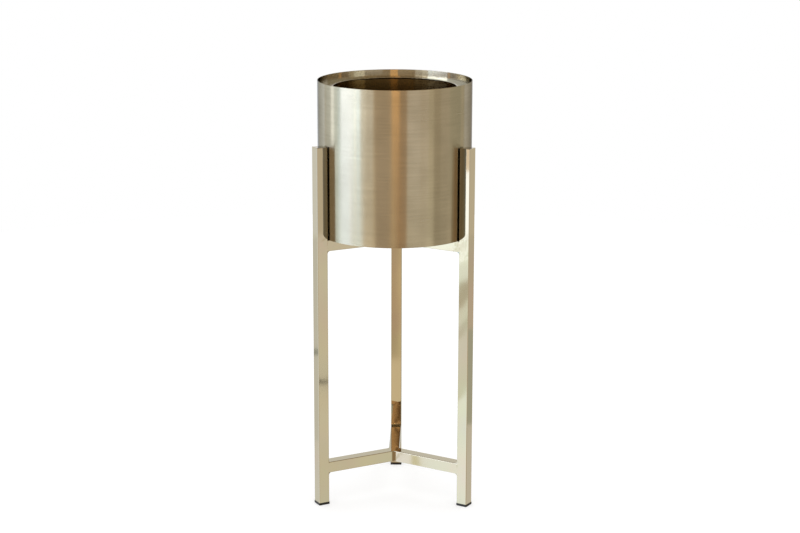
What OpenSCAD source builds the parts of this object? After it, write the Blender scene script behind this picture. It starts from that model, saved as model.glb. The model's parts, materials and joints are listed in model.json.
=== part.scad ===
// Single plant stand: a welded three-legged stand of square tube that holds a
// lift-out cylindrical planter. Millimetres, +Z up. The origin is on the floor,
// on the stand's upright axis. One leg stands behind (+Y), two in front.

/* [Planter] */
// Outer diameter of the planter
planter_d = 220; // [170:1:320]
// Height of the planter from its lower edge to its rim
planter_h = 220; // [140:1:340]
// Sheet thickness of the planter's wall
shell_wall = 1; // [0.8:0.1:2]
// Depth of the ledge ring's top face below the rim
ledge_depth = 9; // [3:0.5:25]
// Width of the ledge ring, from the wall to its round opening
ledge_w = 21.5; // [8:0.5:40]
// Height of the ledge ring's turned-down outer edge
ledge_flange_h = 5; // [4:0.5:12]
// Height of the planter's floor plate above its lower edge
base_raise = 8; // [4:0.5:25]
// Sheet thickness of the ledge ring and the floor plate
plate_t = 1.2; // [0.8:0.1:1.8]
// Outside radius of the pressed bends on the ledge ring and the floor plate
bend_r = 2; // [2:0.1:3]
// Play between the pressed plates and the wall that they are welded into
plate_play = 0.1; // [0.05:0.05:0.3]

/* [Stand] */
// Height of the planter's lower edge above the floor
seat_h = 394; // [150:1:800]
// How far the legs rise above the planter's lower edge
leg_rise = 133; // [20:1:200]
// Height of the underside of the lower spreader above the floor
spreader_h = 48; // [30:1:110]
// Play between the planter and each leg
leg_play = 1.5; // [0.5:0.1:6]

/* [Square tube] */
// Side of the square tube used for the legs and spreader bars
tube_side = 16; // [12:0.5:25]
// Wall thickness of the square tube
tube_wall = 1.2; // [0.8:0.1:2]
// Outside corner radius of the square tube
tube_corner_r = 0.8; // [0.6:0.1:2.5]
// Inside corner radius of the square tube
bore_corner_r = 0.4; // [0.1:0.1:1]

/* [Leg caps and feet] */
// Thickness of the plate that closes the top of each leg
cap_t = 1.5; // [1:0.1:4]
// Edge break around the cap's top and the foot's underside
edge_break = 0.5; // [0.2:0.1:0.9]
// Thickness of the foot that shows below the leg
foot_t = 3.5; // [2:0.5:10]
// How far the foot stands proud of the faces of the leg
foot_proud = 0.4; // [0:0.1:1]
// Height of the plug that holds the foot in the leg
plug_h = 14; // [8:1:24]
// Wall thickness of the hollow plug
plug_wall = 1.6; // [1:0.1:2.5]
// Gap between the plug's stem and the tube's inside
plug_gap = 0.8; // [0.4:0.1:1.5]
// Play between the plug's gripping ribs and the tube's inside
rib_play = 0.05; // [0.02:0.01:0.2]
// Thickness of each gripping rib
rib_t = 1; // [0.6:0.1:1.5]
// Number of gripping ribs
rib_count = 3; // [2:1:4]

/* [Welds] */
// Size of the weld fillet where a bar meets a leg
leg_weld = 3; // [1.5:0.1:5]
// Size of the weld fillet in each inner corner of a spreader's hub
hub_weld = 3.5; // [1.5:0.1:5]
// Flatness of the dressed welds: 1 is a fillet tangent to both faces
weld_flatness = 1.4; // [1.2:0.1:3]

/* [Hidden] */
$fn = 96;

back_az = 90;
left_az = 210;
right_az = 330;
leg_azimuths = [back_az, left_az, right_az];
half_turn = 180;
mitre_half_angle = 60;
square_half_angle = 45;
thin_edge_share = 0.25;

planter_r = planter_d / 2;
plate_outer_r = planter_r - shell_wall - plate_play;
ledge_hole_r = planter_r - shell_wall - ledge_w;
ledge_top_z = seat_h + planter_h - ledge_depth;
base_top_z = seat_h + base_raise;

leg_inner_r = planter_r + leg_play;
leg_axis_r = leg_inner_r + tube_side / 2;
leg_top_z = seat_h + leg_rise;
tube_bore = tube_side - 2 * tube_wall;
flat_w = tube_side - 2 * tube_corner_r;
upper_bar_z = seat_h - tube_side;
lower_bar_z = spreader_h;
hub_corner_r = tube_side / 2 / sin(mitre_half_angle);
side_weld_in = thin_edge_share * tube_corner_r;
side_weld_out = tube_corner_r - side_weld_in;

gold_polished = [0.80, 0.70, 0.50];
gold_brushed = [0.70, 0.62, 0.46];
plastic_black = [0.08, 0.08, 0.08];

// ---- sections -----------------------------------------------------------

// Solid square with rounded corners, centred
module rounded_square(side, corner_r) {
    inner = side - 2 * corner_r;
    square([side, inner], center = true);
    square([inner, side], center = true);
    for (x = [-1, 1], y = [-1, 1])
        translate([x * inner / 2, y * inner / 2]) circle(r = corner_r);
}

// Wall of the square tube, centred
module tube_section() {
    difference() {
        rounded_square(tube_side, tube_corner_r);
        rounded_square(tube_bore, bore_corner_r);
    }
}

// Rounded square block on z = 0 whose upper edges are broken
module block_with_broken_edge(side, height) {
    half = side / 2;
    profile = [
        [-half, 0], [half, 0],
        [half, height - edge_break], [half - edge_break, height],
        [edge_break - half, height], [-half, height - edge_break]
    ];
    intersection() {
        linear_extrude(height) rounded_square(side, tube_corner_r);
        rotate([90, 0, 0]) linear_extrude(side, center = true) polygon(profile);
        rotate([90, 0, 90]) linear_extrude(side, center = true) polygon(profile);
    }
}

// Section of a dressed weld. The corner is the origin, and the two faces
// leave it at plus and minus half_angle from +X.
module weld_section(size, half_angle) {
    reach_x = size * cos(half_angle);
    reach_y = size * sin(half_angle);
    hollow_r = weld_flatness * size * tan(half_angle);
    hollow_x = reach_x + sqrt(hollow_r * hollow_r - reach_y * reach_y);
    difference() {
        polygon([[0, 0], [reach_x, -reach_y], [reach_x, reach_y]]);
        translate([hollow_x, 0]) circle(r = hollow_r);
    }
}

// Half section of a pressed plate: flat from flat_inner_r outwards, with its
// top face at z = 0 and its outer edge turned down to z = -flange_h
module pressed_plate_section(flat_inner_r, flange_h) {
    bend_x = plate_outer_r - bend_r;
    translate([flat_inner_r, -plate_t]) square([bend_x - flat_inner_r, plate_t]);
    translate([bend_x, -bend_r]) intersection() {
        difference() {
            circle(r = bend_r);
            circle(r = bend_r - plate_t);
        }
        square(bend_r);
    }
    translate([plate_outer_r - plate_t, -flange_h]) square([plate_t, flange_h - bend_r]);
}

// ---- stand --------------------------------------------------------------

module leg(azimuth) {
    color(gold_polished)
        rotate([0, 0, azimuth]) translate([leg_axis_r, 0, foot_t])
            linear_extrude(leg_top_z - cap_t - foot_t) tube_section();
}

module leg_cap(azimuth) {
    color(gold_polished)
        rotate([0, 0, azimuth]) translate([leg_axis_r, 0, leg_top_z - cap_t])
            block_with_broken_edge(tube_side, cap_t);
}

// Push-in foot: a pad under the leg and a hollow ribbed plug inside it
module foot(azimuth) {
    stem_side = tube_bore - 2 * plug_gap;
    rib_side = tube_bore - 2 * rib_play;
    rib_pitch = plug_h / (rib_count + 1);
    color(plastic_black)
        rotate([0, 0, azimuth]) translate([leg_axis_r, 0, 0]) {
            translate([0, 0, foot_t]) mirror([0, 0, 1])
                block_with_broken_edge(tube_side + 2 * foot_proud, foot_t);
            translate([0, 0, foot_t]) difference() {
                union() {
                    linear_extrude(plug_h) rounded_square(stem_side, bore_corner_r);
                    for (i = [1 : rib_count])
                        translate([0, 0, i * rib_pitch])
                            linear_extrude(rib_t) rounded_square(rib_side, bore_corner_r);
                }
                translate([0, 0, plug_wall])
                    linear_extrude(plug_h) rounded_square(stem_side - 2 * plug_wall, bore_corner_r);
            }
        }
}

// Spreader bar from the stand's axis to a leg, mitred to a 120 degree point
// so that three of them close a hub
module bar(azimuth, underside_z) {
    mitre_y = leg_inner_r * tan(mitre_half_angle);
    color(gold_polished)
        rotate([0, 0, azimuth]) translate([0, 0, underside_z]) intersection() {
            translate([0, 0, tube_side / 2]) rotate([90, 0, 90])
                linear_extrude(leg_inner_r) tube_section();
            linear_extrude(tube_side)
                polygon([[0, 0], [leg_inner_r, -mitre_y], [leg_inner_r, mitre_y]]);
        }
}

// Weld fillet along the corner of a leg and a bar's face at height z.
// side is -1 below the bar and 1 above it.
module leg_weld_fillet(azimuth, z, side) {
    color(gold_polished)
        rotate([0, 0, azimuth]) translate([leg_inner_r, 0, z])
            rotate([90, 0, 0]) linear_extrude(flat_w, center = true)
                rotate(side * (half_turn - square_half_angle))
                    weld_section(leg_weld, square_half_angle);
}

// Welds that fill the groove between a bar's two sides and the rounded
// corners of its leg, dressed flush. They stop short of both thin edges.
module leg_side_welds(azimuth, underside_z) {
    color(gold_polished)
        for (side = [-1, 1])
            rotate([0, 0, azimuth])
                translate([leg_inner_r, side * flat_w / 2, underside_z + tube_corner_r])
                    linear_extrude(flat_w) difference() {
                        polygon([
                            [0, side * side_weld_in], [side_weld_out, side * side_weld_in],
                            [side_weld_out, side * tube_corner_r], [0, side * tube_corner_r]
                        ]);
                        translate([tube_corner_r, 0]) circle(r = tube_corner_r);
                    }
}

module upper_leg_welds() {
    for (a = leg_azimuths) {
        leg_weld_fillet(a, upper_bar_z, -1);
        leg_side_welds(a, upper_bar_z);
    }
}

module lower_leg_welds() {
    for (a = leg_azimuths) {
        leg_weld_fillet(a, lower_bar_z, -1);
        leg_weld_fillet(a, lower_bar_z + tube_side, 1);
        leg_side_welds(a, lower_bar_z);
    }
}

// Upright weld fillets in the three inner corners of a hub
module hub_weld_fillets(underside_z) {
    color(gold_polished)
        for (a = leg_azimuths)
            rotate([0, 0, a + half_turn])
                translate([hub_corner_r, 0, underside_z + tube_corner_r])
                    linear_extrude(flat_w) weld_section(hub_weld, mitre_half_angle);
}

module upper_hub_welds() {
    hub_weld_fillets(upper_bar_z);
}

module lower_hub_welds() {
    hub_weld_fillets(lower_bar_z);
}

// ---- planter ------------------------------------------------------------

// Rolled and seam-welded wall with a rounded rim
module planter_shell() {
    rim_r = shell_wall / 2;
    color(gold_brushed)
        translate([0, 0, seat_h]) rotate_extrude() {
            translate([planter_r - shell_wall, 0]) square([shell_wall, planter_h - rim_r]);
            translate([planter_r - rim_r, planter_h - rim_r]) circle(r = rim_r);
        }
}

// Ring on which the collar of an inner pot hangs
module planter_ledge_ring() {
    color(gold_brushed)
        translate([0, 0, ledge_top_z]) rotate_extrude()
            pressed_plate_section(ledge_hole_r, ledge_flange_h);
}

// Floor plate, with its turned-down edge flush with the wall's lower edge
module planter_base() {
    color(gold_brushed)
        translate([0, 0, base_top_z]) rotate_extrude()
            pressed_plate_section(0, base_raise);
}

leg(back_az);  // leg_back
leg(left_az);  // leg_left
leg(right_az);  // leg_right
leg_cap(back_az);  // leg_cap_back
leg_cap(left_az);  // leg_cap_left
leg_cap(right_az);  // leg_cap_right
foot(back_az);  // foot_back
foot(left_az);  // foot_left
foot(right_az);  // foot_right
bar(back_az, upper_bar_z);  // upper_bar_back
bar(left_az, upper_bar_z);  // upper_bar_left
bar(right_az, upper_bar_z);  // upper_bar_right
bar(back_az, lower_bar_z);  // lower_bar_back
bar(left_az, lower_bar_z);  // lower_bar_left
bar(right_az, lower_bar_z);  // lower_bar_right
upper_leg_welds();
lower_leg_welds();
upper_hub_welds();
lower_hub_welds();
planter_shell();
planter_ledge_ring();
planter_base();
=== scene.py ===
# %% [markdown]
# # A drum planter on a welded tripod stand
# The real object is two things. A stand is welded from 16 mm square steel
# tube: three uprights and two three-armed spreaders, plated and polished
# until the faces mirror the room. A drum of brushed sheet steel is lowered
# between the uprights and rests on the upper spreader.
#
# The construction comes from the CAD frame. Here each surface gets its
# finish, and the pieces whose finish needs more than the frame's mesh holds
# (the brushed sheet parts, and the beads between bars and uprights) are
# built again in place.

# %% Load the frame
import json
import math

import bmesh
import bpy
from mathutils import Matrix, Vector, noise


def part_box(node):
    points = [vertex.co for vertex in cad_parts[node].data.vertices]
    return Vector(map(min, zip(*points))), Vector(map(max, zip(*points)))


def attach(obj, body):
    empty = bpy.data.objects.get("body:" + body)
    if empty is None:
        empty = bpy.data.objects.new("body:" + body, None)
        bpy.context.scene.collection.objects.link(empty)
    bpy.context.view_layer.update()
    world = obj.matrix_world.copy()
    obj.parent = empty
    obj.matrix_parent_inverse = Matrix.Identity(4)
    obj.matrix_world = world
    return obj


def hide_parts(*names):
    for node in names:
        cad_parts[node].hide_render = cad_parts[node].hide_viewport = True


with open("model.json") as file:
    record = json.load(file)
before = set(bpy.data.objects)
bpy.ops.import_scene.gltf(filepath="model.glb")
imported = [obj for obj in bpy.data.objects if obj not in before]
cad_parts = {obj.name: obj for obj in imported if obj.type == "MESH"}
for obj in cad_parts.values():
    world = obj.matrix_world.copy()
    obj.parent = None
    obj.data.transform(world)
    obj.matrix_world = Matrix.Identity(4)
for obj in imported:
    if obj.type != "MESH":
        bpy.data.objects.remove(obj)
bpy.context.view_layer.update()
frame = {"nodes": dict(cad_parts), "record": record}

MM = 0.001

# %% [markdown]
# ## Sizes read from the frame
# Nothing is measured twice. The drum, the ledge and the tube are where the
# CAD boxes say they are, and the record says how wide the opening for a pot
# is and how thick its plate is, so the numbers below are read from there.

# %% Read the sizes
wall_low, wall_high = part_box("planter_shell")
ring_low, ring_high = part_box("planter_ledge_ring")
floor_low, floor_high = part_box("planter_base")
upper_low, upper_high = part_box("upper_bar_back")
lower_low, lower_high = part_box("lower_bar_back")
drum_r = wall_high.x
seat_z = wall_low.z
rim_z = wall_high.z
ledge_z = ring_high.z
leg_top_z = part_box("leg_cap_back")[1].z
leg_inner_r = upper_high.y
tube_side = upper_high.x - upper_low.x

mounts = {mount["name"]: mount for mount in frame["record"]["mounts"]}
opening = mounts["pot_opening"]["dims"]
opening_r = opening["r_mm"] * MM
plate_t = opening["length_mm"] * MM
plate_r = ring_high.x
# The room that a plate needs to slip into the drum
PLATE_SLIP = 0.1 * MM
wall_t = drum_r - plate_r - PLATE_SLIP
leg_azimuths = {"back": math.radians(90), "left": math.radians(210), "right": math.radians(330)}
print(f"drum radius {drum_r / MM:.1f} mm, rim at {rim_z / MM:.0f} mm, opening {opening_r / MM:.1f} mm")

# %% [markdown]
# ## Camera
# The viewpoint was found by matching the edges of the tube, the rim and the
# ledge with the photograph. It stands 2.67 m away, nearly straight in front,
# at a height of 0.98 m, and looks down by 13.5 degrees. A camera could also
# be aimed at a target, but then its small roll would be lost, so heading,
# pitch and roll are three values and the turns are multiplied in that order.

# %% Place the camera
CAMERA_PLACE = Vector((70.97, -2670.05, 981.83)) * MM
CAMERA_HEADING = math.radians(1.351)
CAMERA_PITCH = math.radians(13.473)
CAMERA_ROLL = math.radians(0.154)
CAMERA_LENS = 85.345
CAMERA_SENSOR = 36
RIGHT_ANGLE = math.pi / 2

camera = bpy.data.objects.new("camera", bpy.data.cameras.new("camera"))
bpy.context.scene.collection.objects.link(camera)
camera.data.sensor_width = CAMERA_SENSOR
camera.data.lens = CAMERA_LENS
turn = (
    Matrix.Rotation(CAMERA_HEADING, 4, "Z")
    @ Matrix.Rotation(RIGHT_ANGLE - CAMERA_PITCH, 4, "X")
    @ Matrix.Rotation(CAMERA_ROLL, 4, "Z")
)
camera.matrix_world = Matrix.Translation(CAMERA_PLACE) @ turn
bpy.context.scene.camera = camera
bpy.context.scene.view_settings.view_transform = "Standard"
print("camera looks along", [round(c, 3) for c in (turn @ Vector((0, 0, -1)))])

# %% [markdown]
# ## Helpers for shaders and pieces
# Colours are written as the hex codes that a painter would pick, and Cycles
# wants linear light, so one function turns them. A second one adds a node:
# a value goes on its socket, and another node's output is linked to it.

# %% Colours and nodes
def linear(hex_code, level=1.0):
    """An sRGB hex code as linear red, green, blue and alpha, times a level."""
    parts = [int(hex_code[i:i + 2], 16) / 255 for i in (1, 3, 5)]
    light = [c / 12.92 if c <= 0.04045 else ((c + 0.055) / 1.055) ** 2.4 for c in parts]
    return (*(c * level for c in light), 1.0)


def add_node(tree, kind, inputs=None, **settings):
    """Adds a shader node. An input is a value, or another node's output to link."""
    node = tree.nodes.new("ShaderNode" + kind)
    for name, value in settings.items():
        setattr(node, name, value)
    for name, value in (inputs or {}).items():
        if isinstance(value, bpy.types.NodeSocket):
            tree.links.new(value, node.inputs[name])
        else:
            node.inputs[name].default_value = value
    return node


WHITE = linear("#FFFFFF")
print("mid grey #808080 is", round(linear("#808080")[0], 3), "in linear light")

# %% [markdown]
# Every finish starts as an empty node tree, and every new piece as a bmesh,
# Blender's editable mesh. A finished bmesh is written to a mesh, the mesh
# gets its one material, and an object at the origin shows it.

# %% Materials and objects
def new_material(name):
    """A material with an empty node tree."""
    material = bpy.data.materials.new(name)
    material.use_nodes = True
    material.node_tree.nodes.clear()
    return material


def show(name, bm, material):
    """Turns a finished bmesh into an object with one material."""
    mesh = bpy.data.meshes.new(name)
    bm.to_mesh(mesh)
    bm.free()
    mesh.materials.append(material)
    shown = bpy.data.objects.new(name, mesh)
    bpy.context.scene.collection.objects.link(shown)
    return shown


# %% [markdown]
# ## The room that the metal mirrors
# Polished and brushed metal have hardly any colour of their own: they show
# what stands around them. The backdrop is plain white, but the drum carries
# upright bands, so the room has a tall window on the left, a tan wall beside
# it, a dim stretch in front with one warm strip of wood, and dull olive
# walls on the right. Cards and lamps could stand there as objects, but the
# room is far away, so bands round the compass are enough. There are four
# sets of them, one above the other: the floor near the stand, the walls at
# eye level, the high walls, and what is raised above those. One plain
# ceiling closes the room.

# %% Describe the room
# Each band is (where it starts in degrees from +X towards +Y, colour, level)
NEAR_FLOOR = [
    (0, "#FFEFD6", 0.73), (36, "#FFF8E8", 0.53), (95, "#FDFFFC", 0.76), (142, "#FFFDF4", 0.92),
    (158, "#F4FBFF", 1.78), (167, "#EFFDFF", 1.16), (176, "#DFEDFF", 2.05), (206, "#FBFDFF", 1.25),
    (222, "#FFEDCF", 1.00), (241, "#FFE4C5", 0.57), (262, "#FFE3BE", 0.66), (267.3, "#FFE6BC", 0.86),
    (269.3, "#FFE3BE", 0.66), (275, "#FFD5A8", 0.56), (289, "#FFF3D9", 0.74), (321, "#FFF6DF", 0.92),
    (332, "#FFF2D7", 0.56)]
EYE_LEVEL = [
    (0, "#FFF7DC", 0.55), (24, "#FFF6DD", 0.69), (28, "#FFF1D8", 0.79), (33.5, "#FFF6DD", 0.69),
    (36, "#FFFBFA", 0.92), (95, "#E8F0FF", 1.55), (143.5, "#FFFFFB", 0.95), (149, "#F6FDFF", 1.00),
    (162.3, "#F0F6FF", 2.11), (169.7, "#EFFBFF", 1.24), (177.7, "#DFF4FF", 1.44),
    (184, "#D9E5FF", 1.96), (206.7, "#C6E5FF", 1.66), (209.5, "#F5F8FF", 2.00),
    (212, "#C6E5FF", 1.66), (218, "#FFFFFD", 0.77), (239, "#FFECD6", 0.66), (266.4, "#FFDAB7", 0.62),
    (277.3, "#FFDBBA", 0.63), (288.5, "#FFF8F3", 1.05), (308, "#FFF4EA", 0.96),
    (321, "#FFEFD4", 0.77), (330, "#FFECCF", 0.54), (343, "#FFEFD8", 0.67), (359, "#FFF5DD", 0.52)]
HIGH_WALL = [
    (0, "#FFF5DD", 0.55), (36, "#FFFBFA", 0.92), (95, "#E8F0FF", 1.35), (184, "#E6EFFF", 5.5),
    (218, "#FFFBF4", 2.6), (229, "#FFF6EB", 1.75), (240, "#FFDDB4", 0.80), (266.4, "#FFC680", 2.5),
    (277.3, "#FFDDB0", 0.66), (321, "#FFEBCB", 0.65), (343, "#FFEFD8", 0.60)]
RAISED = [
    (0, "#FFEABC", 0.45), (40, "#FFFBF0", 0.82), (150, "#F4FBFF", 1.24), (175, "#D7E9FF", 2.16),
    (218, "#FFDEB1", 0.19), (262, "#FFC990", 1.0), (267.4, "#FFB060", 0.10), (275, "#FFDEB1", 0.19),
    (300, "#FFEABC", 0.30)]
CEILING = linear("#FFD69A", 0.42)
# Elevations in degrees between which one set gives way to the next
FLOOR_TO_WALL = (-12.55, -12.45)
WALL_TO_HIGH = (2.0, 4.0)
HIGH_TO_RAISED = (16.4, 17.2)
RAISED_TO_CEILING = (28.0, 40.0)
print("room bands:", len(NEAR_FLOOR), len(EYE_LEVEL), len(HIGH_WALL), len(RAISED))

# %% [markdown]
# The uprights are flat mirrors. Each face shows only a narrow slice of the
# room, and shows it sharply, so the room also needs things of an upright's
# own scale. A striped rug under the window gives the right upright its
# slanting stripes, and a few small things, each a plain patch of colour, give
# the short marks. They could be bands too, but a band runs all the way up its
# wall.

# %% Describe the rug and the small things
# The rug's two side edges and its near and far edge, in degrees
RUG_SIDES = (199.2, 222)
RUG_SPAN = (-20, -12)
# Each stripe is (where it starts in degrees of elevation, colour, level)
RUG_STRIPES = [
    (-20, "#F9FEFF", 1.38), (-17.4, "#FEFFF2", 1.03), (-15.55, "#FFFEEB", 0.84),
    (-15.15, "#FDFFF5", 1.15), (-14.7, "#FFF4DD", 0.74), (-14.0, "#F8FFF8", 1.32),
    (-13.3, "#F4F8FF", 1.85), (-12.82, "#FEFFEF", 1.04), (-12.66, "#F4F8FF", 1.80)]
# How far the stripes climb over a full turn, and how far the rug's creases shift
# them, as parts of a ray's length
RUG_SLANT = 5.3
RUG_CREASE = 0.012
# Each small thing is two bearings, two elevations, all in degrees, and a colour
SMALL_THINGS = {
    "clay pot": (210.3, 214.0, -10.55, -9.3, linear("#FFEAD1", 1.18)),
    "gap between boards": (324.0, 328.5, -16.97, -16.86, linear("#FFF0C8", 0.02)),
    "shaded boards": (24.0, 36.0, -18.2, -15.35, linear("#F1EFDA", 0.64)),
    "sunlit boards": (24.0, 36.0, -21.5, -18.2, linear("#F7EFE2", 0.89)),
    "edge of the curtain": (140.0, 152.0, -18.7, -12.6, linear("#FFFDF4", 0.83)),
    "floor socket": (144.0, 148.0, -16.15, -15.95, linear("#FBFFF0", 0.45)),
    "runner": (266.0, 271.0, -18.0, -16.25, linear("#FFEAC4", 0.95)),
    "mat": (209.02, 209.27, -20.5, -19.0, linear("#FFF8CF", 0.95)),
}
print("rug stripes:", len(RUG_STRIPES), "small things:", len(SMALL_THINGS))

# %% [markdown]
# A world shader gets the direction of each ray. Its bearing picks a place on
# a colour ramp without blending, so every band keeps its edges, and there is
# one ramp for each set.

# %% Ramps without blending
def set_stops(ramp_node, bands, low, high, place_of=float):
    """Gives a ramp unblended stops for bands that start between low and high.
    place_of turns a start into the quantity that the ramp runs along."""
    ramp_node.color_ramp.interpolation = "CONSTANT"
    elements = ramp_node.color_ramp.elements
    while len(elements) > 1:
        elements.remove(elements[-1])
    span = place_of(high) - place_of(low)
    stops = [((place_of(start) - place_of(low)) / span, linear(colour, level))
             for start, colour, level in bands]
    elements[0].position, elements[0].color = stops[0]
    for position, colour in stops[1:]:
        elements.new(position).color = colour


print("stops to set:", sum(len(bands) for bands in (NEAR_FLOOR, EYE_LEVEL, HIGH_WALL, RAISED)))

# %% Turn bearings into bands
FULL_TURN = 360

world = bpy.data.worlds.new("studio")
bpy.context.scene.world = world
world.use_nodes = True
tree = world.node_tree
tree.nodes.clear()
way = add_node(tree, "TexCoord").outputs["Generated"]
# Turned by half a turn, the angle's jump from 180 to -180 degrees falls on +X,
# where the first band starts
flip = add_node(tree, "VectorMath", {0: way, 1: (-1, -1, 1)}, operation="MULTIPLY")
parts = add_node(tree, "SeparateXYZ", {0: flip.outputs[0]})
height = parts.outputs["Z"]
azimuth = add_node(tree, "Math", {0: parts.outputs["Y"], 1: parts.outputs["X"]}, operation="ARCTAN2")
share = add_node(tree, "MapRange", {
    "Value": azimuth.outputs[0], "From Min": -math.pi, "From Max": math.pi}).outputs[0]
layers = []
for bands in (NEAR_FLOOR, EYE_LEVEL, HIGH_WALL, RAISED):
    compass = add_node(tree, "ValToRGB", {"Fac": share})
    set_stops(compass, bands, 0, FULL_TURN)
    layers.append(compass.outputs[0])
print("compass ramps:", len(layers))

# %% [markdown]
# On the rug a second kind of ramp runs the other way, with the elevation.
# The stripes slant, because the height is shifted with the bearing before
# the ramp, and a broad noise creases them. The same noise mottles the floor
# by five percent, as no real floor is one even tone.

# %% Heights and patches
def height_of(degrees):
    """The upward part of a direction at an elevation in degrees."""
    return math.sin(math.radians(degrees))


def between(tree, value, low, high):
    """1 where a value lies between low and high, else 0."""
    return add_node(tree, "Math", {0: value, 1: (low + high) / 2, 2: (high - low) / 2},
                    operation="COMPARE").outputs[0]


print("an elevation of -20 degrees is a height of", round(height_of(-20), 3))

# %% Lay the rug and mottle the floor
# How many blotches there are across a ray direction's unit length
MOTTLE_SCALE = 45
MOTTLE_LEVELS = (0.95, 1.05)
# Most of a noise lies between these two values
NOISE_RANGE = (0.3, 0.7)
# A Mix node has several sockets of each name, so those for colours go by number
MIX_A, MIX_B, MIX_OUT = 6, 7, 2

blotches = add_node(tree, "TexNoise", {"Vector": way, "Scale": MOTTLE_SCALE, "Detail": 2.0})
slant = add_node(tree, "Math", {0: share, 1: -RUG_SLANT, 2: height}, operation="MULTIPLY_ADD")
creased = add_node(tree, "Math", {0: blotches.outputs[0], 1: RUG_CREASE, 2: slant.outputs[0]},
                   operation="MULTIPLY_ADD")
rug_shift = RUG_CREASE / 2 - RUG_SLANT * sum(RUG_SIDES) / 2 / FULL_TURN
along_rug = add_node(tree, "MapRange", {
    "Value": creased.outputs[0], "From Min": height_of(RUG_SPAN[0]) + rug_shift,
    "From Max": height_of(RUG_SPAN[1]) + rug_shift})
stripes = add_node(tree, "ValToRGB", {"Fac": along_rug.outputs[0]})
set_stops(stripes, RUG_STRIPES, *RUG_SPAN, place_of=height_of)
on_rug = between(tree, share, RUG_SIDES[0] / FULL_TURN, RUG_SIDES[1] / FULL_TURN)
laid = add_node(tree, "Mix", {0: on_rug, MIX_A: layers[0], MIX_B: stripes.outputs[0]},
                data_type="RGBA")
mottle = add_node(tree, "MapRange", {
    "Vector": blotches.outputs["Color"],
    "From Min": (NOISE_RANGE[0],) * 3, "From Max": (NOISE_RANGE[1],) * 3,
    "To Min": (MOTTLE_LEVELS[0],) * 3, "To Max": (MOTTLE_LEVELS[1],) * 3},
    data_type="FLOAT_VECTOR")
floor_seen = add_node(tree, "Mix", {
    0: 1.0, MIX_A: laid.outputs[MIX_OUT], MIX_B: mottle.outputs["Vector"]},
    data_type="RGBA", blend_type="MULTIPLY")
print("rug between", RUG_SIDES, "degrees")

# %% [markdown]
# Then the sets are stacked by elevation, and the small things are laid over
# them. Only glossy rays see that room. The camera sees white at strength 1,
# and matt surfaces are lit by the same plain white, so a colour renders
# about as it is written.

# %% Stack the sets and place the small things
room = floor_seen.outputs[MIX_OUT]
upper_layers = ((FLOOR_TO_WALL, layers[1]), (WALL_TO_HIGH, layers[2]),
                (HIGH_TO_RAISED, layers[3]), (RAISED_TO_CEILING, CEILING))
for (low, high), colour in upper_layers:
    rise = add_node(tree, "MapRange", {
        "Value": height, "From Min": height_of(low), "From Max": height_of(high)},
        interpolation_type="SMOOTHSTEP")
    room = add_node(tree, "Mix", {0: rise.outputs[0], MIX_A: room, MIX_B: colour},
                    data_type="RGBA").outputs[MIX_OUT]
for left, right, foot, top, colour in SMALL_THINGS.values():
    beside = between(tree, share, left / FULL_TURN, right / FULL_TURN)
    level_with = between(tree, height, height_of(foot), height_of(top))
    on_thing = add_node(tree, "Math", {0: beside, 1: level_with}, operation="MULTIPLY")
    room = add_node(tree, "Mix", {0: on_thing.outputs[0], MIX_A: room, MIX_B: colour},
                    data_type="RGBA").outputs[MIX_OUT]
rays = add_node(tree, "LightPath")
seen = add_node(tree, "Mix", {0: rays.outputs["Is Glossy Ray"], MIX_A: WHITE, MIX_B: room},
                data_type="RGBA")
sky = add_node(tree, "Background", {"Color": seen.outputs[MIX_OUT], "Strength": 1.0})
add_node(tree, "OutputWorld", {"Surface": sky.outputs[0]})
print("world nodes:", len(tree.nodes))

# %% [markdown]
# ## Floor
# A pale round floor, seen as white. Half of its light is real, so it keeps
# the stand's contact shadow, and the other half is added for camera rays.
# The metal mirrors the room's own floor instead of this disc, whose far edge
# would draw a second line across every upright.

# %% Lay the floor
FLOOR_R = 2.0
FLOOR_SIDES = 96
FLOOR_LIT = 0.55
FLOOR_GREY = linear("#C4C4C4")

paint = new_material("pale_floor_paint")
tree = paint.node_tree
matt = add_node(tree, "BsdfDiffuse", {"Color": FLOOR_GREY})
rays = add_node(tree, "LightPath")
lift = add_node(tree, "Emission", {"Color": WHITE, "Strength": FLOOR_LIT})
none = add_node(tree, "Emission", {"Strength": 0.0})
camera_lift = add_node(tree, "MixShader", {0: rays.outputs["Is Camera Ray"],
                                           1: none.outputs[0], 2: lift.outputs[0]})
both = add_node(tree, "AddShader", {0: matt.outputs[0], 1: camera_lift.outputs[0]})
add_node(tree, "OutputMaterial", {"Surface": both.outputs[0]})

bm = bmesh.new()
bmesh.ops.create_circle(bm, cap_ends=True, segments=FLOOR_SIDES, radius=FLOOR_R)
floor = show("floor", bm, paint)
floor.visible_glossy = False
print("floor radius", FLOOR_R, "m")

# %% [markdown]
# ## Finishes
# **Polished, plated steel tube.** The tube is belt-ground, plated and buffed,
# so it is a mirror with three faults: faint hairlines along its length,
# shallow waves left by the buffing wheel, which make reflections swim, and
# tight ripples round each weld, where the heat drew the thin wall in and the
# bead was ground flush. The ripples could be modelled, but they are a few
# hundredths of a millimetre high, so bump is enough: its height grows with
# nearness to the closest weld.

# %% Nearness to a weld
RIPPLE_REACH_MM = 26
# Closer than this, the ripples have their full height
RIPPLE_FULL_MM = 0.35 * RIPPLE_REACH_MM

upper_mid_z = (upper_low.z + upper_high.z) / 2
lower_mid_z = (lower_low.z + lower_high.z) / 2
# Distance from the axis, and height, of each welded place
WELDED_AT = [(leg_inner_r, upper_mid_z), (leg_inner_r, lower_mid_z), (0, upper_mid_z),
             (0, lower_mid_z), (leg_inner_r + tube_side / 2, leg_top_z)]


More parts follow.
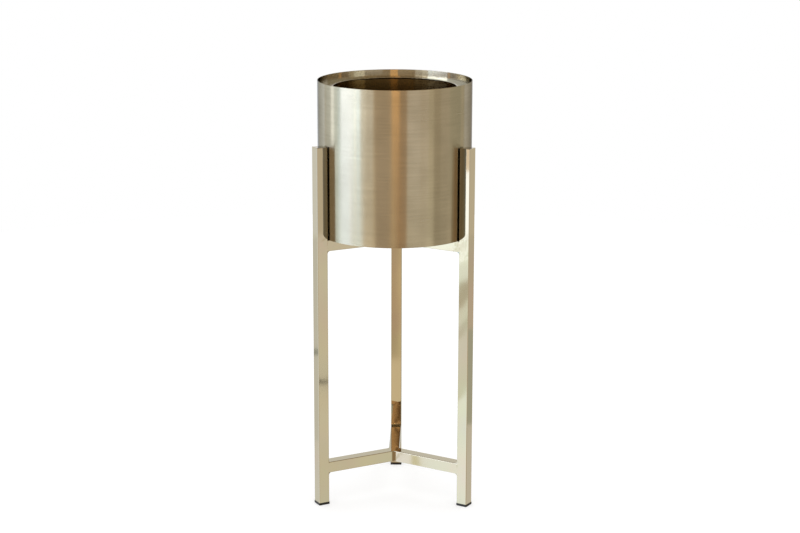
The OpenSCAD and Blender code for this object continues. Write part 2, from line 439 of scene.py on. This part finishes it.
def radius_and_height(tree, place):
    """The distance from the stand's axis and the height of a place, as two sockets."""
    parts = add_node(tree, "SeparateXYZ", {0: place})
    level = add_node(tree, "CombineXYZ", {"X": parts.outputs["X"], "Y": parts.outputs["Y"]})
    radius = add_node(tree, "VectorMath", {0: level.outputs[0]}, operation="LENGTH")
    return radius.outputs["Value"], parts.outputs["Z"]


def nearness_to_weld(tree, place):
    """1 at the closest weld, and 0 where its ripples end."""
    radius, height = radius_and_height(tree, place)
    around = add_node(tree, "CombineXYZ", {"X": radius, "Z": height})
    nearest = None
    for weld_r, weld_z in WELDED_AT:
        gap = add_node(tree, "VectorMath", {0: around.outputs[0], 1: (weld_r, 0, weld_z)},
                       operation="DISTANCE").outputs["Value"]
        nearest = gap if nearest is None else add_node(
            tree, "Math", {0: nearest, 1: gap}, operation="MINIMUM").outputs[0]
    return add_node(tree, "MapRange", {
        "Value": nearest, "From Min": RIPPLE_FULL_MM * MM, "From Max": RIPPLE_REACH_MM * MM,
        "To Min": 1.0, "To Max": 0.0}, interpolation_type="SMOOTHSTEP").outputs[0]


print("kinds of welded places:", len(WELDED_AT))

# %% [markdown]
# Hairlines, and later the brush strokes, are a noise that is much longer one
# way than the other. An image of scratches could be laid on, but a noise
# with its own size in millimetres on each axis stays sharp from close by.

# %% A noise with a grain
def grained_noise(tree, at, sizes_mm, detail, roughness=0.5):
    """Noise whose blotches have the given sizes along X, Y and Z. detail is how many
    finer layers it has, and roughness how strong those are."""
    scaled = add_node(tree, "Mapping", {
        "Vector": at, "Scale": [1 / (size * MM) for size in sizes_mm]})
    return add_node(tree, "TexNoise", {
        "Vector": scaled.outputs[0], "Scale": 1.0, "Detail": detail,
        "Roughness": roughness}).outputs[0]


# A noise that is cut to its middle has more contrast
NOISE_MIDDLE = (0.35, 0.65)
print("a noise is cut to", NOISE_MIDDLE)

# %% [markdown]
# The finish is one metal with three bumps in a row, from the coarsest to the
# finest, so that each leans on the one before. A faint haze varies the
# roughness. The bars lie along three bearings, so each bearing gets its own
# copy, with the hairlines turned along it. The hub's beads are the same
# plated metal, but browner, because heat stains the plating and the buffing
# wheel doesn't reach the corners.

# %% Polished tube
PLATING_POLISHED = "#C5BFAD"
PLATING_ON_BEAD = "#A2957A"
POLISH_ROUGHNESS = (0.02, 0.04)
WAVE_MM, WAVE_HEIGHT_MM = 60, 0.05
RIPPLE_MM, RIPPLE_HEIGHT_MM = 13, 0.05
HAIRLINE_MM, HAIRLINE_LENGTH_MM = 1.5, 120
HAIRLINE_DEPTH_MM, HAIRLINE_STRENGTH = 0.001, 0.3


def polished_tube(name, tilt, plating=PLATING_POLISHED):
    """Mirror-polished plated steel whose hairlines run along a tube turned by tilt."""
    material = new_material(name)
    tree = material.node_tree
    place = add_node(tree, "TexCoord").outputs["Object"]
    along = add_node(tree, "Mapping", {"Vector": place, "Rotation": tilt})
    hairlines = grained_noise(tree, along.outputs[0],
                              (HAIRLINE_MM, HAIRLINE_MM, HAIRLINE_LENGTH_MM), detail=3.0)
    waves = add_node(tree, "TexNoise", {"Vector": place, "Scale": 1 / (WAVE_MM * MM), "Detail": 1.0})
    ripples = add_node(tree, "TexNoise", {"Vector": place, "Scale": 1 / (RIPPLE_MM * MM),
                                          "Detail": 1.0})
    haze = add_node(tree, "TexNoise", {"Vector": place, "Scale": 1 / (WAVE_MM * MM), "Detail": 4.0})
    rough = add_node(tree, "MapRange", {
        "Value": haze.outputs[0], "From Min": NOISE_MIDDLE[0], "From Max": NOISE_MIDDLE[1],
        "To Min": POLISH_ROUGHNESS[0], "To Max": POLISH_ROUGHNESS[1]})
    wavy = add_node(tree, "Bump", {"Height": waves.outputs[0], "Strength": 1.0,
                                   "Distance": WAVE_HEIGHT_MM * MM})
    rippled = add_node(tree, "Bump", {
        "Height": ripples.outputs[0], "Strength": nearness_to_weld(tree, place),
        "Distance": RIPPLE_HEIGHT_MM * MM, "Normal": wavy.outputs[0]})
    scratched = add_node(tree, "Bump", {
        "Height": hairlines, "Strength": HAIRLINE_STRENGTH,
        "Distance": HAIRLINE_DEPTH_MM * MM, "Normal": rippled.outputs[0]})
    metal = add_node(tree, "BsdfPrincipled", {
        "Base Color": linear(plating), "Metallic": 1.0,
        "Roughness": rough.outputs[0], "Normal": scratched.outputs[0]})
    add_node(tree, "OutputMaterial", {"Surface": metal.outputs[0]})
    return material


print(f"waves of {WAVE_HEIGHT_MM} mm over {WAVE_MM} mm")
print(f"ripples of {RIPPLE_HEIGHT_MM} mm over {RIPPLE_MM} mm")

# %% Finishes of the uprights, the bars and the hubs
upright_steel = polished_tube("polished_plated_steel_upright", (0, 0, 0))
bar_steel = {
    side: polished_tube(f"polished_plated_steel_{side}_bar", (0, RIGHT_ANGLE, -turn))
    for side, turn in leg_azimuths.items()
}
bead_steel = polished_tube("plated_weld_bead", (0, 0, 0), PLATING_ON_BEAD)
print("tube finishes:", 2 + len(bar_steel))

# %% [markdown]
# **Brushed, plated sheet.** The drum's sheet is brushed round and round, so
# each groove scatters light up and down and hardly sideways. That is an
# anisotropic highlight: its tangent has to follow the drum, so the sheet
# pieces get a UV map in metres, with U up the wall (or out along a plate)
# and V round it. The real grooves are about 0.1 mm apart, too fine to show
# at this distance, so they are drawn 0.8 mm apart.
#
# The brush doesn't get into the drum, so the inner side is smoother. Inside,
# below the ledge, the sheet's colour is darker and browner: that is painted
# shade for the recess under the ledge. Both could be materials of their own,
# but the wall is one sheet, so the radius and the height of a place tell
# which side it is on.

# %% Inside of the drum
def inside_and_shaded_recess(tree, place):
    """Two sockets: 1 on the drum's inner side, and 1 inside below the ledge, where shade is painted."""
    radius, height = radius_and_height(tree, place)
    inside = add_node(tree, "Math", {0: radius, 1: drum_r - wall_t / 2}, operation="LESS_THAN")
    below = add_node(tree, "Math", {0: height, 1: ledge_z - plate_t / 2}, operation="LESS_THAN")
    recess_shade = add_node(tree, "Math", {0: inside.outputs[0], 1: below.outputs[0]},
                        operation="MULTIPLY")
    return inside.outputs[0], recess_shade.outputs[0]


print(f"unplated below {(ledge_z - plate_t / 2) / MM:.1f} mm")

# %% [markdown]
# Brushed sheet is never even. Long streaks vary its tone by four percent
# either way, and handling leaves soft smudges, a little darker and a little
# rougher. At a glancing angle the plating looks greyer than straight on,
# which a metal's specular tint gives. It is set on the wall only, whose
# sides are seen that way.

# %% Tone of brushed sheet
PLATING_BRUSHED = "#BBB39E"
# Painted shade: the darker, browner colour of the sheet inside the drum below the ledge
SHADE_UNDER_LEDGE = "#84704C"
SMUDGE_SHADE = 0.93
STREAK_MM, STREAK_LENGTH_MM = 2.2, 60
STREAK_LEVELS = (0.96, 1.04)
# A UV map has no third axis, so any size does there
UNUSED_MM = 1000


def sheet_tone(tree, sheet, smudges, recess_shade):
    """The colour of plated sheet, with painted shade below the ledge, and its smudges and streaks."""
    smudged = add_node(tree, "MapRange", {
        "Value": smudges, "From Min": NOISE_MIDDLE[0], "From Max": NOISE_MIDDLE[1],
        "To Min": 1.0, "To Max": SMUDGE_SHADE})
    streaks = grained_noise(tree, sheet, (STREAK_MM, STREAK_LENGTH_MM, UNUSED_MM), detail=2.0)
    streaked = add_node(tree, "MapRange", {
        "Value": streaks, "From Min": NOISE_RANGE[0], "From Max": NOISE_RANGE[1],
        "To Min": STREAK_LEVELS[0], "To Max": STREAK_LEVELS[1]})
    shade = add_node(tree, "Math", {0: smudged.outputs[0], 1: streaked.outputs[0]},
                     operation="MULTIPLY")
    # Painted shade: inside, below the ledge, the plating's colour gives way to a darker brown
    plating_with_shade = add_node(tree, "Mix", {0: recess_shade, MIX_A: linear(PLATING_BRUSHED),
                                  MIX_B: linear(SHADE_UNDER_LEDGE)}, data_type="RGBA")
    return add_node(tree, "Mix", {0: 1.0, MIX_A: plating_with_shade.outputs[MIX_OUT], MIX_B: shade.outputs[0]},
                    data_type="RGBA", blend_type="MULTIPLY").outputs[MIX_OUT]


print("streaks", STREAK_MM, "by", STREAK_LENGTH_MM, "mm")

# %% [markdown]
# One noise stands for the brush strokes. It is the height of the grooves, and
# it also varies the roughness, because a groove scatters more than the land
# beside it. The tangent node hands the map's U direction, which runs across
# the grooves, to the metal, and the highlight is stretched that way.

# %% Brushed sheet
BRUSH_MAP = "brushing"
BRUSHED_EDGE = "#A3A19C"
BRUSH_GROOVE_MM, BRUSH_STROKE_MM = 0.8, 90
# How frayed the strokes are: the noise's own roughness
STROKE_FRAY = 0.6
GROOVE_DEPTH_MM, GROOVE_STRENGTH = 0.0015, 0.5
BRUSHED_ROUGHNESS = (0.21, 0.25)
BRUSHED_ANISOTROPY = 0.95
INSIDE_SMOOTHER = 0.11
SMUDGE_MM = 38
# Where a smudge is this dense, the sheet turns rougher by up to SMUDGE_ROUGHER
SMUDGE_DENSE = (0.45, 0.75)
SMUDGE_ROUGHER = 0.03


def brushed_sheet(name, edge):
    """Plated steel sheet brushed along V of the brushing map; edge tints glancing light."""
    material = new_material(name)
    tree = material.node_tree
    sheet = add_node(tree, "UVMap", uv_map=BRUSH_MAP).outputs[0]
    place = add_node(tree, "TexCoord").outputs["Object"]
    inside, recess_shade = inside_and_shaded_recess(tree, place)
    strokes = grained_noise(tree, sheet, (BRUSH_GROOVE_MM, BRUSH_STROKE_MM, UNUSED_MM),
                            detail=4.0, roughness=STROKE_FRAY)
    smudges = add_node(tree, "TexNoise", {"Vector": place, "Scale": 1 / (SMUDGE_MM * MM),
                                          "Detail": 1.0}).outputs[0]
    touched = add_node(tree, "MapRange", {
        "Value": smudges, "From Min": SMUDGE_DENSE[0], "From Max": SMUDGE_DENSE[1],
        "To Max": SMUDGE_ROUGHER})
    brushed = add_node(tree, "MapRange", {
        "Value": strokes, "From Min": NOISE_RANGE[0], "From Max": NOISE_RANGE[1],
        "To Min": BRUSHED_ROUGHNESS[0], "To Max": BRUSHED_ROUGHNESS[1]})
    handled = add_node(tree, "Math", {0: brushed.outputs[0], 1: touched.outputs[0]}, operation="ADD")
    rough = add_node(tree, "Math", {0: inside, 1: -INSIDE_SMOOTHER, 2: handled.outputs[0]},
                     operation="MULTIPLY_ADD")
    grooves = add_node(tree, "Bump", {"Height": strokes, "Strength": GROOVE_STRENGTH,
                                      "Distance": GROOVE_DEPTH_MM * MM})
    tangent = add_node(tree, "Tangent", direction_type="UV_MAP", uv_map=BRUSH_MAP)
    metal = add_node(tree, "BsdfPrincipled", {
        "Base Color": sheet_tone(tree, sheet, smudges, recess_shade), "Metallic": 1.0,
        "Roughness": rough.outputs[0], "Anisotropic": BRUSHED_ANISOTROPY,
        "Specular Tint": linear(edge), "Normal": grooves.outputs[0], "Tangent": tangent.outputs[0]})
    add_node(tree, "OutputMaterial", {"Surface": metal.outputs[0]})
    return material


print("grooves", BRUSH_GROOVE_MM, "mm apart, strokes", BRUSH_STROKE_MM, "mm long")

# %% Finishes of the wall and the plates
UNTINTED = "#FFFFFF"
wall_steel = brushed_sheet("brushed_plated_steel_wall", BRUSHED_EDGE)
plate_steel = brushed_sheet("brushed_plated_steel_plate", UNTINTED)
print("brushed finishes: 2")

# %% [markdown]
# **Moulded black plastic.** The feet are low-gloss polyethylene plugs. Plain
# black would look like a hole, and what shows that they are moulded is the
# fine spark-eroded texture of the mould, about 0.3 mm across, so a small
# noise gives both its bump and its uneven gloss.

# %% Black plastic
PLASTIC_BLACK = linear("#0B0A0A")
PLASTIC_IOR = 1.5
PLASTIC_ROUGHNESS = (0.42, 0.62)
MOULD_GRAIN_MM, MOULD_DEPTH_MM = 0.3, 0.03
MOULD_STRENGTH = 0.5

black_plastic = new_material("moulded_black_polyethylene")
tree = black_plastic.node_tree
place = add_node(tree, "TexCoord").outputs["Object"]
grain = add_node(tree, "TexNoise", {"Vector": place, "Scale": 1 / (MOULD_GRAIN_MM * MM), "Detail": 2.0})
rough = add_node(tree, "MapRange", {
    "Value": grain.outputs[0], "To Min": PLASTIC_ROUGHNESS[0], "To Max": PLASTIC_ROUGHNESS[1]})
grained = add_node(tree, "Bump", {"Height": grain.outputs[0], "Strength": MOULD_STRENGTH,
                                  "Distance": MOULD_DEPTH_MM * MM})
plastic = add_node(tree, "BsdfPrincipled", {
    "Base Color": PLASTIC_BLACK, "IOR": PLASTIC_IOR,
    "Roughness": rough.outputs[0], "Normal": grained.outputs[0]})
add_node(tree, "OutputMaterial", {"Surface": plastic.outputs[0]})
print("feet finish:", black_plastic.name)

# %% [markdown]
# ## Dress the frame's own pieces
# The tubes, caps and feet already have their true shape in the frame, with
# the corner radii of drawn tube. They could be built again, but a copy could
# only be worse, so they stay and take a finish. So do the hub's beads.

# %% Finish the stand
def finish_node(name, material):
    """Puts one finish on a CAD node."""
    for slot in frame["nodes"][name].material_slots:
        slot.material = material


for side in leg_azimuths:
    finish_node(f"leg_{side}", upright_steel)
    finish_node(f"leg_cap_{side}", upright_steel)
    finish_node(f"foot_{side}", black_plastic)
    finish_node(f"upper_bar_{side}", bar_steel[side])
    finish_node(f"lower_bar_{side}", bar_steel[side])
for name in ("upper_hub_welds", "lower_hub_welds"):
    finish_node(name, bead_steel)
print("stand dressed, with", len(leg_azimuths), "uprights")

# %% [markdown]
# ## The welds between bars and uprights
# Each bar ends against an upright. The welder fills the corner under the bar
# (and above it, on the lower spreader), and fills the groove that the
# upright's rounded corner leaves at the bar's two sides, which is then ground
# flush, so that the faces run into each other without a seam. A corner bead
# could be a bent strip, but a small section drawn once and extruded fills
# the corner as the real one does. Its hollow face is one point, spun along
# the arc of a wide circle from the bar to the upright.

# %% Corner bead
# The radius of a bead's hollow face, in bead sizes
BEAD_FLATNESS = 1.4
# Steps round the hollow face, and cuts along the bead
BEAD_STEPS = 6
BEAD_CUTS = 12
# The corner radius of the drawn tube
TUBE_CORNER = 0.8 * MM
bead_size = lower_low.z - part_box("lower_leg_welds")[0].z


def corner_bead(bar_face_z, up):
    """A bead between an upright's inner face and a bar's face; up is 1 above it, -1 below."""
    bead = bmesh.new()
    half_chord = bead_size / math.sqrt(2)
    hollow_r = BEAD_FLATNESS * bead_size
    centre = (half_chord + math.sqrt(hollow_r ** 2 - half_chord ** 2)) / math.sqrt(2)
    foot = bead.verts.new((bead_size, 0, 0))
    bmesh.ops.spin(bead, geom=[foot], cent=(centre, centre, 0), axis=(0, 0, 1), dvec=(0, 0, 0),
                   angle=-2 * math.asin(half_chord / hollow_r), steps=BEAD_STEPS)
    bead.verts.new((0, 0, 0))
    section = bead.faces.new(bead.verts)
    run = tube_side - TUBE_CORNER
    bmesh.ops.translate(bead, verts=bead.verts, vec=(0, 0, -run / 2))
    grown = bmesh.ops.extrude_face_region(bead, geom=[section], use_keep_orig=True)["geom"]
    bmesh.ops.translate(bead, verts=[g for g in grown if isinstance(g, bmesh.types.BMVert)],
                        vec=(0, 0, run))
    long_edges = [e for e in bead.edges if abs(e.verts[0].co.z - e.verts[1].co.z) > run / 2]
    bmesh.ops.subdivide_edges(bead, edges=long_edges, cuts=BEAD_CUTS)
    bmesh.ops.recalc_face_normals(bead, faces=bead.faces)
    bmesh.ops.transform(bead, verts=bead.verts, matrix=Matrix((
        (-1, 0, 0, leg_inner_r), (0, 0, up, 0), (0, up, 0, bar_face_z), (0, 0, 0, 1))))
    return bead


trial = corner_bead(lower_high.z, 1)
print("a bead has", len(trial.faces), "faces")
trial.free()

# %% [markdown]
# The fill beside a bar is a small box, whose two outer edges are rounded like
# the bar's corners. It reaches a little into both tubes, and stands proud of
# the bar by a hundredth of a millimetre, because two faces in the very same
# place would flicker.

# %% Side fills
FLUSH = 0.01 * MM
BITE = 0.1 * MM
# Steps round any rounded corner
CORNER_STEPS = 5


def add_side_fills(bm, bar_low_z):
    """Fills the grooves at both sides of one bar's end, on the +X upright."""
    fill_low = Vector((leg_inner_r - BITE, tube_side / 2 - TUBE_CORNER - BITE, bar_low_z + BITE))
    fill_high = Vector((leg_inner_r + TUBE_CORNER, tube_side / 2 + FLUSH,
                        bar_low_z + tube_side - BITE))
    for side in (-1, 1):
        middle = (fill_low + fill_high) / 2
        middle.y *= side
        place = Matrix.Translation(middle) @ Matrix.Diagonal((*(fill_high - fill_low), 1))
        verts = bmesh.ops.create_cube(bm, size=1, matrix=place)["verts"]
        outer = [v for v in verts if v.co.y * side > middle.y * side]
        ends = [e for e in bm.edges if all(v in outer for v in e.verts)
                and abs(e.verts[0].co.x - e.verts[1].co.x) > BITE]
        bmesh.ops.bevel(bm, geom=ends, offset=TUBE_CORNER - BITE, offset_type="OFFSET",
                        affect="EDGES", segments=CORNER_STEPS, profile=0.5, material=-1)


print(f"a fill reaches {BITE / MM:.1f} mm into the tubes")

# %% [markdown]
# One joint is made on the +X side and turned into its three places. Then the
# beads are nudged by noise, after the turn, so that no two are alike, which
# is what tells a hand weld from a pressed part. The fills are left alone,
# because they are ground flush.

# %% Three joints from one
LUMP_MM, LUMP_HEIGHT_MM = 3.5, 0.35


def turn_to_uprights(bm):
    """Copies one joint to the three uprights, and deletes the original."""
    one_joint = bm.verts[:] + bm.edges[:] + bm.faces[:]
    original = bm.verts[:]
    for turn in leg_azimuths.values():
        copy = bmesh.ops.duplicate(bm, geom=one_joint)["geom"]
        bmesh.ops.rotate(bm, verts=[g for g in copy if isinstance(g, bmesh.types.BMVert)],
                         cent=(0, 0, 0), matrix=Matrix.Rotation(turn, 3, "Z"))
    bmesh.ops.delete(bm, geom=original, context="VERTS")


def roughen_beads(bm, bar_low_z):
    """Moves the beads' points in or out by noise; a bead lies under or over its bar."""
    bm.normal_update()
    for vert in bm.verts:
        out = math.hypot(vert.co.x, vert.co.y)
        if out < leg_inner_r - 2 * BITE and not bar_low_z < vert.co.z < bar_low_z + tube_side:
            lump = noise.noise(vert.co / (LUMP_MM * MM)) * LUMP_HEIGHT_MM * MM
            vert.co += vert.normal * lump


print("lumps up to", LUMP_HEIGHT_MM, "mm high, about", LUMP_MM, "mm across")

# %% [markdown]
# One bmesh can't be joined to another, so each bead passes through a spare
# mesh on its way into its spreader's welds. Shading comes last: the hollow
# faces are smooth, and the ends keep crisp edges.

# %% Joint welds
# Faces that meet at more than this angle keep a crisp edge
SHARP_FROM = math.radians(40)


def joint_welds(name, bar_low_z, bead_faces, stands_for):
    """The beads and flush side fills of the three joints of one spreader."""
    bm = bmesh.new()
    for bar_face_z, up in bead_faces:
        bead = corner_bead(bar_face_z, up)
        spare = bpy.data.meshes.new("bead")
        bead.to_mesh(spare)
        bead.free()
        bm.from_mesh(spare)
        bpy.data.meshes.remove(spare)
    add_side_fills(bm, bar_low_z)
    turn_to_uprights(bm)
    roughen_beads(bm, bar_low_z)
    for face in bm.faces:
        face.smooth = True
    welds = show(name, bm, upright_steel)
    welds.data.set_sharp_from_angle(angle=SHARP_FROM)
    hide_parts(stands_for)
    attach(welds, "stand")
    print(name, len(welds.data.polygons), "faces")


joint_welds("upper_joint_welds", upper_low.z, [(upper_low.z, -1)], "upper_leg_welds")
joint_welds("lower_joint_welds", lower_low.z, [(lower_low.z, -1), (lower_high.z, 1)],
            "lower_leg_welds")

# %% [markdown]
# ## The sheet pieces
# The drum wall, the ledge ring and the floor plate are brushed round the
# axis, and their UV map has to say which way that is. Blender could unwrap
# them, but the map is measured instead, up the wall or out along a plate,
# and round the axis. A corner's angle is counted from the middle of its face,
# so that the face that closes the turn doesn't stretch back over the map.

# %% Brushing map
def lay_brushing_map(bm):
    """U runs up the wall or out along a plate, and V runs round the drum, in metres."""
    brushing = bm.loops.layers.uv.new(BRUSH_MAP)
    for face in bm.faces:
        middle = face.calc_center_median()
        flat = abs(face.normal.z) > math.cos(math.pi / 4)
        middle_angle = math.atan2(middle.y, middle.x)
        for loop in face.loops:
            at = loop.vert.co
            radius = math.hypot(at.x, at.y)
            angle = math.atan2(at.y, at.x) if radius > MM else middle_angle
            swing = (angle - middle_angle + math.pi) % math.tau - math.pi
            loop[brushing].uv = (radius if flat else at.z, (middle_angle + swing) * drum_r)


print("the map is", round(math.tau * drum_r, 3), "m long round the drum")

# %% [markdown]
# All three are turned forms. They could be cut from cylinders, but then
# every rounding would be a job of its own. Instead a small section is drawn
# as one face, its corners are bevelled, and its outline is spun round the
# axis. A full spin ends where it began, so its two ends are merged.

# %% Spin a section
SPIN_STEPS = 256
# Points closer than this are one point
SAME_POINT = 0.001 * MM


def spun_piece(name, corners, rounding, stands_for, material):
    """Spins a section, a list of (radius, height) corners, into a sheet piece of the
    planter. rounding gives each corner's bevel in metres, in the corners' order."""
    bm = bmesh.new()
    verts = [bm.verts.new((r, 0, z)) for r, z in corners]
    bm.faces.new(verts)
    for vert, size in zip(verts, rounding):
        if size:
            bmesh.ops.bevel(bm, geom=[vert], offset=size, offset_type="OFFSET",
                            affect="VERTICES", segments=CORNER_STEPS, profile=0.5, material=-1)
    bmesh.ops.delete(bm, geom=list(bm.faces), context="FACES_ONLY")
    bmesh.ops.spin(bm, geom=list(bm.verts) + list(bm.edges), cent=(0, 0, 0), axis=(0, 0, 1),
                   dvec=(0, 0, 0), angle=math.tau, steps=SPIN_STEPS, use_merge=True)
    bmesh.ops.remove_doubles(bm, verts=bm.verts, dist=SAME_POINT)
    bmesh.ops.recalc_face_normals(bm, faces=bm.faces)
    lay_brushing_map(bm)
    for face in bm.faces:
        face.smooth = True
    piece = show(name, bm, material)
    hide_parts(stands_for)
    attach(piece, "planter")
    print(name, len(piece.data.polygons), "faces")


print(f"one step of the spin is {math.tau * drum_r / SPIN_STEPS / MM:.1f} mm on the drum wall")

# %% [markdown]
# The wall's section is a thin upright strip. At the rim both of its corners
# are rounded to nearly half the sheet, as a filed and polished edge is, and
# at the foot they are only broken.

# %% Drum wall
RIM_ROUND = 0.42 * wall_t
FOOT_ROUND = 0.1 * MM
spun_piece(
    "drum_wall",
    [(drum_r, seat_z), (drum_r, rim_z), (drum_r - wall_t, rim_z), (drum_r - wall_t, seat_z)],
    [FOOT_ROUND, RIM_ROUND, RIM_ROUND, FOOT_ROUND],
    "planter_shell", wall_steel)

# %% [markdown]
# The ledge ring and the floor plate are pressed: the outer edge of each is
# turned down to a short skirt, which slips inside the wall. The bend's radius
# is 2 mm outside, and a plate's thickness less inside, so that the sheet is
# as thick round it as elsewhere. The opening's edge is only broken, as a
# blanked hole is.

# %% Ledge ring and floor plate
BEND_OUT = 2 * MM
HOLE_EDGE = 0.3 * MM
spun_piece(
    "ledge_ring",
    [(opening_r, ledge_z), (plate_r, ledge_z), (plate_r, ring_low.z), (plate_r - plate_t, ring_low.z),
     (plate_r - plate_t, ledge_z - plate_t), (opening_r, ledge_z - plate_t)],
    [HOLE_EDGE, BEND_OUT, 0, 0, BEND_OUT - plate_t, HOLE_EDGE],
    "planter_ledge_ring", plate_steel)
base_z = floor_high.z
spun_piece(
    "floor_plate",
    [(0, base_z), (plate_r, base_z), (plate_r, floor_low.z), (plate_r - plate_t, floor_low.z),
     (plate_r - plate_t, base_z - plate_t), (0, base_z - plate_t)],
    [0, BEND_OUT, 0, 0, BEND_OUT - plate_t, 0],
    "planter_base", plate_steel)
